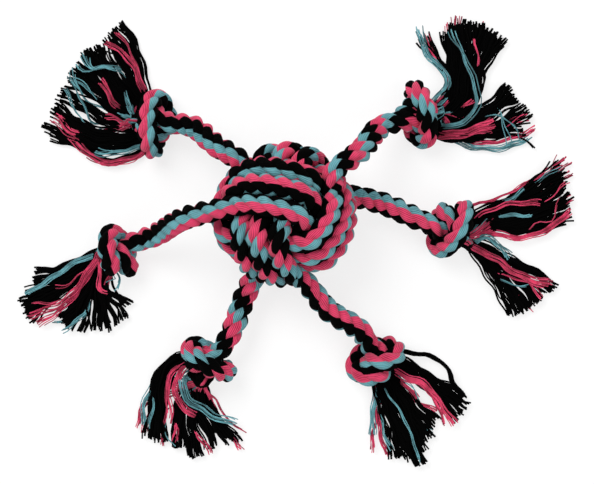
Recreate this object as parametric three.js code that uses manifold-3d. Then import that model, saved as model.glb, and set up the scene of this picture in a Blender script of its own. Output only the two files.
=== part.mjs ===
// Rope dog toy. Three cotton ropes are tied round a core as a monkey's fist, a ball of three
// crossing windings. Both ends of each rope leave the ball as legs, and each leg is tied in an
// overhand knot and left open below it as a tassel of three unlaid strands.
// Millimetres, +Z up. The origin is on the floor, in the middle of the toy's outline from above.
import * as THREE from "three";
import { mergeVertices } from "three/addons/utils/BufferGeometryUtils.js";
import Module from "manifold-3d";

const wasm = await Module();
wasm.setup();

// Driving dimensions, in millimetres
const CLEARANCE = 0.4; // between pieces that touch
const LEG_ROPE_DIAMETER = 16; // rope that lies free
const FIST_ROPE_DIAMETER = 11.4; // the same rope pulled tight in the ball
const FIST_PASS_GAP = 2.95; // between neighbouring passes of one winding
const FIST_CROSSING_GAP = 2.95; // between a winding and the one that it crosses over
const KNOT_ROPE_DIAMETER = 10.8; // the rope pulled tight in a knot
const KNOT_GAP = 1.2; // between the turns of a knot
const STRAND_ROOT_DIAMETER = 4; // a strand of the rope where its tassel begins
const STRAND_SPACING = 5.4; // between the three strands there
const KNOT_DISTANCE = 116; // from the ball's axis to the middle of a knot
const TASSEL_REACH = 75; // from there to the tip of a tassel strand
const TASSEL_HALF_WIDTH = 15; // of a strand's fan of yarn at its tip
const TASSEL_THICKNESS = 8; // of that yarn, lying on the floor
const FLAT_DEPTH = 1.3; // how far the rope is pressed flat where it stands on the floor

// The ball
const FIST_TURNS = 3; // passes in each winding
const SEAT_RATIO = 0.67; // inner winding radius for each pass, in pass pitches
const FIST_LEAN = 20; // degrees that the ball's three-fold axis leans from upright
const FIST_LEAN_TOWARDS = 301; // azimuth of that lean
const FIST_AZIMUTH = 244; // azimuth of the first winding's axis

// The two ends of a winding: the turn where each one leaves the coil, the corner that it leaves
// by in the winding's axes, where it starts to run straight in pass pitches from the middle, and
// how strongly its bend is pulled.
const LEADS = {
  first: { turn: -0.04, corner: [0.39, -0.575, 0.755], radiusRatio: 3.65, pull: 0.4 },
  last: { turn: FIST_TURNS - 0.161, corner: [-0.485, -0.635, 0.65], radiusRatio: 3.54, pull: 0.26 },
};
const LEAD_AIM = 0.75; // how far a rope end turns from its corner towards its own knot
const LEAD_STRAIGHT_RATIO = 0.58; // straight part of a rope end, in rope diameters
const LEG_PULL = 0.4; // how far a leg runs on from each of its ends, as a share of its length

// The legs, clockwise from the upper left: the rope end that each one is, the azimuth of its knot
// from the ball and its share of KNOT_DISTANCE, the azimuth and downward pitch of the rope through
// the knot, how far the knot is rolled about the rope, and how large it is drawn up, as a share of
// the usual size. Each tassel strand has the azimuth of its tip from the middle of the knot and its
// shares of TASSEL_REACH and TASSEL_HALF_WIDTH.
const LEGS = [
  {
    name: "leg_1",
    rope: 0,
    end: "last",
    knotAt: { azimuth: 144.9, share: 0.971 },
    heading: 176,
    pitch: 18,
    roll: 8,
    drawnUp: 1,
    tassel: [[192, 1.03, 1.15], [158, 1.02, 1.45], [126, 0.99, 1]],
  },
  {
    name: "leg_2",
    rope: 2,
    end: "first",
    knotAt: { azimuth: 35.8, share: 1.017 },
    heading: 14,
    pitch: 18,
    roll: 25,
    drawnUp: 1,
    tassel: [[80, 0.91, 0.8], [54, 1.02, 1.05], [-3, 1.11, 1.15]],
  },
  {
    name: "leg_3",
    rope: 2,
    end: "last",
    knotAt: { azimuth: -6.3, share: 1 },
    heading: -23,
    pitch: 22,
    roll: 60,
    drawnUp: 1,
    tassel: [[24, 1.2, 0.75], [6, 1.17, 0.8], [-32, 1.05, 0.95]],
  },
  {
    name: "leg_4",
    rope: 1,
    end: "first",
    knotAt: { azimuth: -57.6, share: 1.016 },
    heading: -64,
    pitch: 38,
    roll: 180,
    drawnUp: 0.86,
    tassel: [[-31, 0.95, 0.85], [-54, 1.03, 1], [-78, 0.91, 0.95]],
  },
  {
    name: "leg_5",
    rope: 1,
    end: "last",
    knotAt: { azimuth: 244.1, share: 1 },
    heading: 238,
    pitch: 4,
    roll: -60,
    drawnUp: 0.95,
    tassel: [[286, 0.88, 0.95], [258, 1.02, 1.05], [233, 0.96, 0.95]],
  },
  {
    name: "leg_6",
    rope: 0,
    end: "first",
    knotAt: { azimuth: 190.8, share: 1.032 },
    heading: 196,
    pitch: 18,
    roll: 110,
    drawnUp: 0.86,
    tassel: [[256, 0.76, 1], [228, 0.99, 0.95], [203, 1.03, 0.95]],
  },
];

// An overhand knot from the crown of its ring to the rope that leaves it, in knot pitches. The
// other half is the same turned half round about the third axis. The rope runs along the first.
const HALF_KNOT = [
  [0, 0, 0.85],
  [0.05, -0.95, 0.65],
  [0, -1.5, -0.2],
  [-0.1, -1.25, -1.1],
  [-0.4, -0.4, -1.4],
  [-0.5, 0.2, -0.95],
  [0, 0.55, -0.4],
  [0.7, 0.2, 0],
  [1.2, 0, 0],
];
const KNOT_ENTRY = 1.8; // how far before the knot's middle its rope begins, in knot pitches
const KNOT_EXIT = 1.35; // and how far behind it the rope opens

// Facets
const WINDING_SIDES = 6;
const STEPS_PER_TURN = 24;
const LEAD_STEPS = 6;
const LEG_SIDES = 8;
const LEG_STEPS = 8;
const KNOT_SIDES = 7;
const KNOT_STEPS = 44;
const TASSEL_SIDES = 8;
const TASSEL_STEPS = 5;
const CORE_SEGMENTS = 20;
const GAP_SAMPLES = 600; // points on a line where its gap to itself is measured
const DOME_LATITUDES = [55, 25]; // degrees from a dome's rim, where it has a ring

// Sizes that follow
const passPitch = FIST_ROPE_DIAMETER + FIST_PASS_GAP;
const underRadius = SEAT_RATIO * FIST_TURNS * passPitch;
const overRadius = underRadius + FIST_ROPE_DIAMETER + FIST_CROSSING_GAP;
const coreDiameter = 2 * (underRadius - FIST_ROPE_DIAMETER / 2 - CLEARANCE);
const knotPitch = KNOT_ROPE_DIAMETER + KNOT_GAP;

const UP = new THREE.Vector3(0, 0, 1);
const radians = THREE.MathUtils.degToRad;
const atAzimuth = (degrees, z = 0) =>
  new THREE.Vector3(Math.cos(radians(degrees)), Math.sin(radians(degrees)), z);

// The middle of a leg's knot on the floor plan, from the ball's axis.
const knotPlan = ({ azimuth, share }) => atAzimuth(azimuth).multiplyScalar(share * KNOT_DISTANCE);

const cottonPink = new THREE.MeshStandardMaterial({ color: "#c93a60", roughness: 0.95, metalness: 0 });
const cottonTeal = new THREE.MeshStandardMaterial({ color: "#5a9fa8", roughness: 0.95, metalness: 0 });
const cottonBlack = new THREE.MeshStandardMaterial({ color: "#131214", roughness: 0.95, metalness: 0 });
const coreRubber = new THREE.MeshStandardMaterial({ color: "#2b2a2c", roughness: 0.8, metalness: 0 });

// The point with given coordinates along three axes.
function combine(frame, coordinates) {
  const point = new THREE.Vector3();
  coordinates.forEach((value, k) => point.addScaledVector(frame[k], value));
  return point;
}

// Unit tangents of a line of points. A given tangent takes the place of the last one.
function tangentsOf(points, endTangent) {
  const tangents = points.map((_, i) => {
    const before = points[Math.max(i - 1, 0)];
    const after = points[Math.min(i + 1, points.length - 1)];
    return after.clone().sub(before).normalize();
  });
  if (endTangent) tangents[points.length - 1] = endTangent;
  return tangents;
}

// A closed solid along a line of points. sizes holds the half width and half height of each ring,
// startPole the point that its start closes on, and side the first ring's width axis, which is
// carried along the line without twist.
function sweptSolid({ points, sizes, sides, side, startPole, endTangent }) {
  const tangents = tangentsOf(points, endTangent);
  const vertices = [];
  const across = side.clone();
  points.forEach((point, i) => {
    across.addScaledVector(tangents[i], -across.dot(tangents[i])).normalize();
    const upright = tangents[i].clone().cross(across);
    for (let j = 0; j < sides; j += 1) {
      const angle = (2 * Math.PI * j) / sides;
      const vertex = point
        .clone()
        .addScaledVector(across, sizes[i][0] * Math.cos(angle))
        .addScaledVector(upright, sizes[i][1] * Math.sin(angle));
      vertices.push(...vertex.toArray());
    }
  });
  vertices.push(...(startPole ?? points[0]).toArray(), ...points.at(-1).toArray());

  const faces = [];
  const rings = points.length;
  const start = rings * sides;
  const end = start + 1;
  for (let j = 0; j < sides; j += 1) {
    const next = (j + 1) % sides;
    const last = (rings - 1) * sides;
    faces.push(start, next, j, end, last + j, last + next);
    for (let i = 0; i + 1 < rings; i += 1) {
      const low = i * sides;
      const high = low + sides;
      faces.push(low + j, low + next, high + next, low + j, high + next, high + j);
    }
  }
  const geometry = new THREE.BufferGeometry();
  geometry.setAttribute("position", new THREE.Float32BufferAttribute(vertices, 3));
  geometry.setIndex(faces);
  return geometry;
}

// The rings of a round dome at the start of a line that leaves centre along direction.
function domeRings(centre, direction, radius) {
  const behind = (distance) => centre.clone().addScaledVector(direction, -distance);
  return {
    points: DOME_LATITUDES.map((latitude) => behind(radius * Math.sin(radians(latitude)))),
    radii: DOME_LATITUDES.map((latitude) => radius * Math.cos(radians(latitude))),
    pole: behind(radius),
  };
}

function toManifold(geometry) {
  const bare = geometry.clone();
  bare.deleteAttribute("normal");
  bare.deleteAttribute("uv");
  const merged = mergeVertices(bare);
  return new wasm.Manifold(
    new wasm.Mesh({
      numProp: 3,
      vertProperties: new Float32Array(merged.attributes.position.array),
      triVerts: new Uint32Array(merged.index.array),
    }),
  );
}

function toGeometry(manifold) {
  const mesh = manifold.getMesh();
  const geometry = new THREE.BufferGeometry();
  geometry.setAttribute("position", new THREE.Float32BufferAttribute(mesh.vertProperties, 3));
  geometry.setIndex(new THREE.Uint32BufferAttribute(mesh.triVerts, 1));
  return geometry;
}

// What stands on the floor is pressed flat there: everything under the floor is cut away.
function standOnFloor(geometry) {
  geometry.computeBoundingBox();
  const { min, max } = geometry.boundingBox;
  if (min.z >= 0) return geometry;
  const floor = new THREE.BoxGeometry(2 * (max.x - min.x), 2 * (max.y - min.y), 4 * -min.z);
  floor.translate((min.x + max.x) / 2, (min.y + max.y) / 2, 2 * min.z);
  return toGeometry(toManifold(geometry).subtract(toManifold(floor)));
}

// The least gap of a tube to itself, measured between points that lie further apart along it
// than around the tightest bend.
function leastGap(line, diameter) {
  const points = new THREE.CatmullRomCurve3(line, false, "centripetal").getSpacedPoints(GAP_SAMPLES);
  const along = [0];
  for (let i = 1; i < points.length; i += 1) along.push(along[i - 1] + points[i].distanceTo(points[i - 1]));
  let least = Infinity;
  for (let i = 0; i < points.length; i += 1) {
    for (let j = i + 1; j < points.length; j += 1) {
      if (along[j] - along[i] > 2 * diameter) least = Math.min(least, points[i].distanceTo(points[j]));
    }
  }
  return least - diameter;
}

// The ball's own axes: three at right angles, whose diagonal stands up and leans a little.
function fistAxes() {
  const rise = Math.asin(1 / Math.sqrt(3));
  const lean = new THREE.Quaternion().setFromAxisAngle(
    UP.clone().cross(atAzimuth(FIST_LEAN_TOWARDS)),
    radians(FIST_LEAN),
  );
  return [0, 1, 2].map((i) =>
    atAzimuth(FIST_AZIMUTH + 120 * i)
      .multiplyScalar(Math.cos(rise))
      .addScaledVector(UP, Math.sin(rise))
      .applyQuaternion(lean),
  );
}

// How high a winding runs at an angle from the pole where it crosses over its neighbour: over it
// there, and under the other neighbour a quarter turn on. The step lies between their edges.
const STEP_MIDDLE = 0.235;
const STEP_WIDTH = 0.555;
function windingHeight(angle) {
  const step = THREE.MathUtils.clamp((Math.cos(2 * angle) + STEP_MIDDLE) / STEP_WIDTH, -1, 1);
  return underRadius + (overRadius - underRadius) * 0.5 * (1 + step * (1.5 - 0.5 * step * step));
}

// One winding's centreline about the middle of the ball, without its ends: turns that step across
// by a pass towards the end of each one.
const STEP_ACROSS = [0.8, 0.97]; // where in a turn that step lies
function coilLine(axes, index) {
  const frame = [0, 1, 2].map((k) => axes[(index + k) % 3]);
  const turns = LEADS.last.turn - LEADS.first.turn;
  const steps = Math.round(STEPS_PER_TURN * turns);
  const points = [];
  for (let i = 0; i <= steps; i += 1) {
    const turn = LEADS.first.turn + (turns * i) / steps;
    const whole = Math.floor(turn);
    const passes = whole + THREE.MathUtils.smoothstep(turn - whole, ...STEP_ACROSS);
    const offset = passPitch * ((FIST_TURNS - 1) / 2 - Math.min(passes, FIST_TURNS - 1));
    const angle = 2 * Math.PI * turn;
    const height = windingHeight(angle);
    const ring = Math.sqrt(height * height - offset * offset);
    points.push(combine(frame, [offset, ring * Math.sin(angle), ring * Math.cos(angle)]));
  }
  return { frame, points };
}

const fist = fistAxes();
const coils = [0, 1, 2].map((i) => coilLine(fist, i));

// The ball stands pressed flat by FLAT_DEPTH on the lowest of its passes.
const lowestPass = Math.min(...coils.flatMap((coil) => coil.points.map((p) => p.z)));
const ballCentre = new THREE.Vector3(0, 0, FIST_ROPE_DIAMETER / 2 - FLAT_DEPTH - lowestPass);

// A rope end: it bends out of the coil by a corner of the ball and runs straight towards its knot.
function leadLine(coil, end) {
  const { corner, radiusRatio, pull } = LEADS[end];
  const backwards = end === "first";
  const from = coil.points.at(backwards ? 0 : -1);
  const ahead = tangentsOf(coil.points).at(backwards ? 0 : -1).multiplyScalar(backwards ? -1 : 1);
  const leg = LEGS.find((l) => l.rope === coils.indexOf(coil) && l.end === end);
  const outward = combine(coil.frame, corner).normalize();
  const bend = outward.clone().multiplyScalar(radiusRatio * passPitch);
  const towardsKnot = knotPlan(leg.knotAt).setZ(knotPitch).sub(ballCentre).sub(bend).normalize();
  outward.lerp(towardsKnot, LEAD_AIM).normalize();
  const reach = pull * from.distanceTo(bend);
  const curve = new THREE.CubicBezierCurve3(
    from,
    from.clone().addScaledVector(ahead, reach),
    bend.clone().addScaledVector(outward, -reach),
    bend,
  );
  const tip = bend.clone().addScaledVector(outward, LEAD_STRAIGHT_RATIO * FIST_ROPE_DIAMETER);
  const points = [...curve.getPoints(LEAD_STEPS).slice(1), tip];
  return { outward, tip: tip.clone().add(ballCentre), points };
}

// A whole winding in place, from one tip to the other.
function windingLine(coil) {
  const ends = { first: leadLine(coil, "first"), last: leadLine(coil, "last") };
  const points = [...ends.first.points.toReversed(), ...coil.points, ...ends.last.points];
  return { ends, points: points.map((p) => p.clone().add(ballCentre)) };
}
const windings = coils.map(windingLine);

// The rope is pulled tight in the ball and widens to a leg's size in its straight ends.
function windingSolid({ points }) {
  const last = points.length - 1;
  const sizes = points.map((_, i) => {
    const free = 1 - 0.5 * Math.min(i, last - i, 2);
    const radius = THREE.MathUtils.lerp(FIST_ROPE_DIAMETER, LEG_ROPE_DIAMETER, free) / 2;
    return [radius, radius];
  });
  return sweptSolid({ points, sizes, sides: WINDING_SIDES, side: UP.clone().cross(tangentsOf(points)[0]) });
}

// A knot's frame: the rope runs through it along the first axis.
function knotFrame(leg) {
  const heading = atAzimuth(leg.heading)
    .multiplyScalar(Math.cos(radians(leg.pitch)))
    .addScaledVector(UP, -Math.sin(radians(leg.pitch)));
  const level = UP.clone().cross(heading).normalize();
  const upright = heading.clone().cross(level);
  const turn = new THREE.Quaternion().setFromAxisAngle(heading, radians(leg.roll));
  return [heading, level.applyQuaternion(turn), upright.applyQuaternion(turn)];
}

// A knot's centreline in place, resting on the floor.
function knotLine(leg) {
  const frame = knotFrame(leg);
  const otherHalf = HALF_KNOT.slice(1).map(([a, b, c]) => [-a, -b, c]);
  const places = [[-KNOT_ENTRY, 0, 0], ...otherHalf.reverse(), ...HALF_KNOT, [KNOT_EXIT, 0, 0]];
  const route = places.map((place) => combine(frame, place).multiplyScalar(leg.drawnUp * knotPitch));
  const points = new THREE.CatmullRomCurve3(route, false, "centripetal").getSpacedPoints(KNOT_STEPS);
  const lowest = Math.min(...points.map((p) => p.z));
  const diameter = leg.drawnUp * KNOT_ROPE_DIAMETER;
  const centre = knotPlan(leg.knotAt).setZ(diameter / 2 - FLAT_DEPTH - lowest);
  return { points: points.map((p) => p.add(centre)), heading: frame[0], diameter };
}

// The rope narrows from a leg's size into the knot, over its ends.
const KNOT_TAPER = 0.13; // share of the knot's rope at each end
function knotSolid(knot) {
  const last = knot.points.length - 1;
  const sizes = knot.points.map((_, i) => {
    const fromEnd = Math.min(i, last - i) / last;
    const free = 1 - THREE.MathUtils.smoothstep(fromEnd, 0, KNOT_TAPER);
    const radius = THREE.MathUtils.lerp(knot.diameter, LEG_ROPE_DIAMETER, free) / 2;
    return [radius, radius];
  });
  return sweptSolid({
    points: knot.points,
    sizes,
    sides: KNOT_SIDES,
    side: UP.clone().cross(knot.heading).normalize(),
    endTangent: knot.heading,
  });
}

// A leg turns about the middle of its rounded root, just off the end of the rope in the ball.
function legLine(leg, knot) {
  const end = windings[leg.rope].ends[leg.end];
  const root = end.tip.clone().addScaledVector(end.outward, CLEARANCE + LEG_ROPE_DIAMETER / 2);
  const knotFace = knot.points[0].clone().addScaledVector(knot.heading, -CLEARANCE);
  const pull = LEG_PULL * root.distanceTo(knotFace);
  const curve = new THREE.CubicBezierCurve3(
    root,
    root.clone().addScaledVector(end.outward, pull),
    knotFace.clone().addScaledVector(knot.heading, -pull),
    knotFace,
  );
  return { points: curve.getSpacedPoints(LEG_STEPS), root, heading: knot.heading };
}

function legSolid(line) {
  const radius = LEG_ROPE_DIAMETER / 2;
  const ahead = tangentsOf(line.points)[0];
  const dome = domeRings(line.root, ahead, radius);
  const points = [...dome.points, ...line.points];
  return sweptSolid({
    points,
    sizes: [...dome.radii, ...line.points.map(() => radius)].map((r) => [r, r]),
    sides: LEG_SIDES,
    side: UP.clone().cross(ahead).normalize(),
    startPole: dome.pole,
    endTangent: line.heading,
  });
}

// A tassel strand's centreline: it leaves the knot beside the others and drops to the floor.
const DROP_END = 0.6; // share of its length by which it lies on the floor
function strandLine(leg, knot, place) {
  const [azimuth, reach] = leg.tassel[place];
  const middle = leg.tassel.reduce((sum, strand) => sum + strand[0], 0) / leg.tassel.length;
  const beside = UP.clone().cross(atAzimuth(middle));
  const skew = Math.abs(beside.dot(knot.heading));
  const root = knot.points
    .at(-1)
    .clone()
    .addScaledVector(knot.heading, CLEARANCE + STRAND_ROOT_DIAMETER / 2 + skew * STRAND_SPACING)
    .addScaledVector(beside, (1 - place) * STRAND_SPACING);
  const tip = knotPlan(leg.knotAt).addScaledVector(atAzimuth(azimuth), reach * TASSEL_REACH);
  const points = [];
  for (let i = 0; i <= TASSEL_STEPS; i += 1) {
    const share = i / TASSEL_STEPS;
    const fallen = THREE.MathUtils.smoothstep(share, 0, DROP_END);
    const height = THREE.MathUtils.lerp(root.z, TASSEL_THICKNESS / 2 - FLAT_DEPTH, fallen);
    points.push(root.clone().lerp(tip, share).setZ(height));
  }
  return points;
}

// The strand itself: a rounded root, and yarn that spreads as a flat fan, held clear of its
// neighbours.
const FAN_POWER = 0.7; // under one, the fan opens early
const FAN_HOLD = 0.9; // share of the way to a neighbour that a strand may fill
function strandSolid(leg, lines, place) {
  const line = lines[place];
  const neighbours = [lines[place - 1], lines[place + 1]].filter(Boolean);
  const rootRadius = STRAND_ROOT_DIAMETER / 2;
  const sizes = line.map((point, i) => {
    const share = i / TASSEL_STEPS;
    const fan = leg.tassel[place][2] * TASSEL_HALF_WIDTH * share ** FAN_POWER;
    const room = Math.min(...neighbours.map((other) => point.distanceTo(other[i]))) / 2;
    const height = THREE.MathUtils.lerp(rootRadius, TASSEL_THICKNESS / 2, Math.min(1, 2 * share));
    return [Math.max(rootRadius, Math.min(fan, FAN_HOLD * room)), height];
  });
  const start = tangentsOf(line)[0];
  const dome = domeRings(line[0], start, rootRadius);
  return sweptSolid({
    points: [...dome.points, ...line],
    sizes: [...dome.radii.map((r) => [r, r]), ...sizes],
    sides: TASSEL_SIDES,
    side: UP.clone().cross(start).normalize(),
    startPole: dome.pole,
  });
}

// The pieces are laid out round the ball's own axis.
const layout = new THREE.Group();
function addPiece(name, geometry, material) {
  const mesh = new THREE.Mesh(geometry, material);
  mesh.name = name;
  layout.add(mesh);
}

const core = new THREE.SphereGeometry(coreDiameter / 2, CORE_SEGMENTS, CORE_SEGMENTS / 2);
core.translate(...ballCentre.toArray());
addPiece("core_ball", core, coreRubber);

windings.forEach((winding, i) => {
  const name = `rope_${"abc"[i]}_winding`;
  addPiece(name, standOnFloor(windingSolid(winding)), cottonPink);
  console.log(name, "least gap to itself", leastGap(winding.points, FIST_ROPE_DIAMETER).toFixed(2));
});

const strandMaterials = [cottonPink, cottonBlack, cottonTeal];
for (const leg of LEGS) {
  const knot = knotLine(leg);
  const strandLines = leg.tassel.map((_, place) => strandLine(leg, knot, place));
  addPiece(`${leg.name}_rope`, legSolid(legLine(leg, knot)), cottonBlack);
  addPiece(`${leg.name}_knot`, standOnFloor(knotSolid(knot)), cottonPink);
  leg.tassel.forEach((_, place) => {
    const strand = standOnFloor(strandSolid(leg, strandLines, place));
    addPiece(`${leg.name}_tassel_strand_${place + 1}`, strand, strandMaterials[place]);
  });
  console.log(leg.name, "knot least gap to itself", leastGap(knot.points, knot.diameter).toFixed(2));
}

// The origin goes to the middle of the whole outline.
const outline = new THREE.Box3().setFromObject(layout);
const middle = outline.getCenter(new THREE.Vector3()).setZ(0);
layout.position.sub(middle);
const toy = new THREE.Group();
toy.name = "rope_dog_toy";
toy.add(layout);

// Where each leg turns on the ball and each tassel on its knot, for whoever poses the toy. Both
// axes are level, and a positive turn lifts.
const show = (v) => JSON.stringify(v.toArray().map((n) => Number(n.toFixed(4))));
for (const leg of LEGS) {
  const knot = knotLine(leg);
  const root = legLine(leg, knot).root;
  const strandRoots = leg.tassel.map((_, place) => strandLine(leg, knot, place)[0]);
  const legAxis = knot.points[0].clone().sub(root).cross(UP).normalize();
  const tasselAxis = strandRoots[2].clone().sub(strandRoots[0]).normalize();
  console.log(leg.name, "lift", show(root.sub(middle)), show(legAxis));
  console.log(leg.name, "flop", show(strandRoots[1].sub(middle)), show(tasselAxis));
}

export default toy;
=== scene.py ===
# %% [markdown]
# A rope dog toy
#
# Three cotton ropes are tied together as a monkey's fist, which is the ball in the middle. Their six
# ends spread out from it as legs, and each leg has an overhand knot with an open tassel below it.
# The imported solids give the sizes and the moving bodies. Every piece of rope is modelled again here,
# because rope is soft and the solids only hold its place.

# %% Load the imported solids
import math

import bmesh
import bpy
import numpy as np
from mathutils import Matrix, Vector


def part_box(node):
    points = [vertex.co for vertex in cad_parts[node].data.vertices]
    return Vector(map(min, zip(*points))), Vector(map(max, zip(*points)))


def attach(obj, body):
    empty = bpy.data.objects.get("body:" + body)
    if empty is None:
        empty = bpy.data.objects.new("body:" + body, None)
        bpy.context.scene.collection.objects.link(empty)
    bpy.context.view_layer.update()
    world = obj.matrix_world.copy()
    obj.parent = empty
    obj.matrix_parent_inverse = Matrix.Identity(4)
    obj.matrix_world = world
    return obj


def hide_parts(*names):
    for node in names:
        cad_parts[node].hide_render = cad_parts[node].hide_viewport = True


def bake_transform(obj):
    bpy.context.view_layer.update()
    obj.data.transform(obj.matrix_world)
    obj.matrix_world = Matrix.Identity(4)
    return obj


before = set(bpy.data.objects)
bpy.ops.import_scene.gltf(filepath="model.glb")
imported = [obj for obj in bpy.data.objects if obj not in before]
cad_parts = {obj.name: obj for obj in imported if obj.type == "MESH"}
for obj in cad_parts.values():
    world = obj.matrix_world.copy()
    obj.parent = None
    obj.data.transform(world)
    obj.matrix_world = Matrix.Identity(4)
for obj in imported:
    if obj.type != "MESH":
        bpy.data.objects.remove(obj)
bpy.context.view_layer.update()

MM = 0.001


def link(obj):
    bpy.context.collection.objects.link(obj)
    return obj


# %% [markdown]
# The camera
#
# The picture is a flat lay, taken from straight above. A long lens high over the toy does the same:
# a short lens would lean the sides of the ball outwards. The frame is 594 pixels wide and a pixel is
# 0.7 mm on the toy, so the height follows from the lens.

# %% Camera
FRAME_WIDTH = 415.8 * MM
LENS = 135.0  # mm
SENSOR_WIDTH = 36.0  # mm
FOCUS_HEIGHT = 20 * MM  # where the frame's width is measured
FRAME_FROM_BALL = (8.8 * MM, -18.9 * MM)  # middle of the frame from the ball's axis

low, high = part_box("core_ball")
ball_centre = (np.array(low) + np.array(high)) / 2

camera_data = bpy.data.cameras.new("camera")
camera_data.lens = LENS
camera_data.sensor_width = SENSOR_WIDTH
camera = link(bpy.data.objects.new("camera", camera_data))
camera_height = FRAME_WIDTH * LENS / SENSOR_WIDTH + FOCUS_HEIGHT
camera.location = (*(ball_centre[:2] + FRAME_FROM_BALL), camera_height)
bpy.context.scene.camera = camera
bpy.context.scene.view_settings.view_transform = "Standard"
print("camera height:", round(camera_height, 3), "m, ball centre:", ball_centre.round(4))

# %% [markdown]
# Colours and nodes
#
# Colours are written as on a screen, in sRGB. Blender's shaders count in linear light, so one
# function changes them over. One small function adds a node with its settings and its links, which
# keeps every material below short enough to read. It fills the node's inputs through a helper that
# also serves for the shader that a new material already has.


# %% Helpers for materials
def linear(hex_colour):
    values = [int(hex_colour[i:i + 2], 16) / 255 for i in (1, 3, 5)]
    return [v / 12.92 if v <= 0.04045 else ((v + 0.055) / 1.055) ** 2.4 for v in values] + [1.0]


def set_inputs(tree, node, values):
    for name, value in values.items():
        if isinstance(value, bpy.types.NodeSocket):
            tree.links.new(value, node.inputs[name])
        else:
            node.inputs[name].default_value = value


def add_node(tree, kind, settings=None, inputs=None):
    node = tree.nodes.new(kind)
    for name, value in (settings or {}).items():
        setattr(node, name, value)
    set_inputs(tree, node, inputs or {})
    return node


def new_material(name):
    material = bpy.data.materials.new(name)
    material.use_nodes = True
    tree = material.node_tree
    return material, tree, tree.nodes["Principled BSDF"]


print("half grey on a screen, in linear light:", round(linear("#808080")[0], 3))

# %% [markdown]
# Cotton
#
# The rope is soft spun cotton, dyed black, pink and teal before it was laid. Cotton has no gloss, a
# faint pale halo from loose fibre, and fine lines where the yarns lie side by side. The lines are a
# relief, and painted shade in the grooves between the yarns. In the laid rope they run along each
# strand with a slow twist, so they are drawn on the strand's own map, which is in metres. The loose
# yarns of a tassel are real geometry. They get mottle and fibre, and some of them get a darker copy
# of their dye as painted shade.

# %% Sizes and dyes of the cotton
YARN_WIDTH = 1.3 * MM
YARN_SLANT = 0.25  # how fast a yarn turns round its strand, as it runs along
YARN_RELIEF = 0.8  # of the bump, beside the whole of the fibre
YARN_SHADE = 0.6  # of the shade: painted shade in the grooves, beside the whole of the random mottle
YARN_WOBBLE = {"Distortion": 1.5, "Detail": 1.0, "Detail Scale": 0.3}
WAVE_PERIOD = 2 * math.pi / 20  # length of one wave of the Wave Texture at scale 1
FIBRE_SIZE = 0.5 * MM  # real fibre is too fine to show, so it is drawn this coarse
FIBRE_DETAIL = 2.0
MOTTLE_SIZE = 7 * MM
MOTTLE_DETAIL = 3.0
RELIEF_STRENGTH = 0.7
RELIEF_DEPTH = 0.5 * MM
# Each dye's two tones. On laid rope the dark one is painted shade in the grooves between yarns and the
# bright one is the dye on their crests. On loose yarn the random mottle runs between them.
DYE_AND_SHADE_TONES = {
    "black": ("#010101", "#020202"),
    "pink": ("#761A2A", "#E2446C"),
    "teal": ("#34575C", "#69A6AF"),
}
LAID_SHADES = (0.35, 0.9)  # where the grooves' painted shade ends and the crests' own colour begins
LOOSE_SHADES = (0.18, 0.65)
SHADED = 0.5  # of the full dye: a darker copy that paints shade on yarns lying deeper in a lock
SHEEN = {"black": 0.0, "pink": 0.12, "teal": 0.12}
SPECULAR = {"black": 0.03, "pink": 0.12, "teal": 0.12}
SHEEN_ROUGHNESS = 0.5
COTTON_ROUGHNESS = 0.92
print("dyes:", list(DYE_AND_SHADE_TONES), "yarn width:", round(YARN_WIDTH / MM, 1), "mm")


# %% Cotton materials
def yarn_lines(tree, place):
    # Waves across the strand's map, turned so that each yarn goes slowly round its strand. They give the
    # yarns' relief, and their troughs are painted shade in the grooves between yarns.
    turned = add_node(
        tree,
        "ShaderNodeMapping",
        settings={"vector_type": "POINT"},
        inputs={"Vector": place, "Rotation": (0.0, 0.0, math.atan(YARN_SLANT))},
    )
    settings = {"wave_type": "BANDS", "bands_direction": "X", "wave_profile": "SIN"}
    inputs = {"Vector": turned.outputs["Vector"], "Scale": WAVE_PERIOD / YARN_WIDTH, **YARN_WOBBLE}
    return add_node(tree, "ShaderNodeTexWave", settings, inputs).outputs["Fac"]


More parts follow.
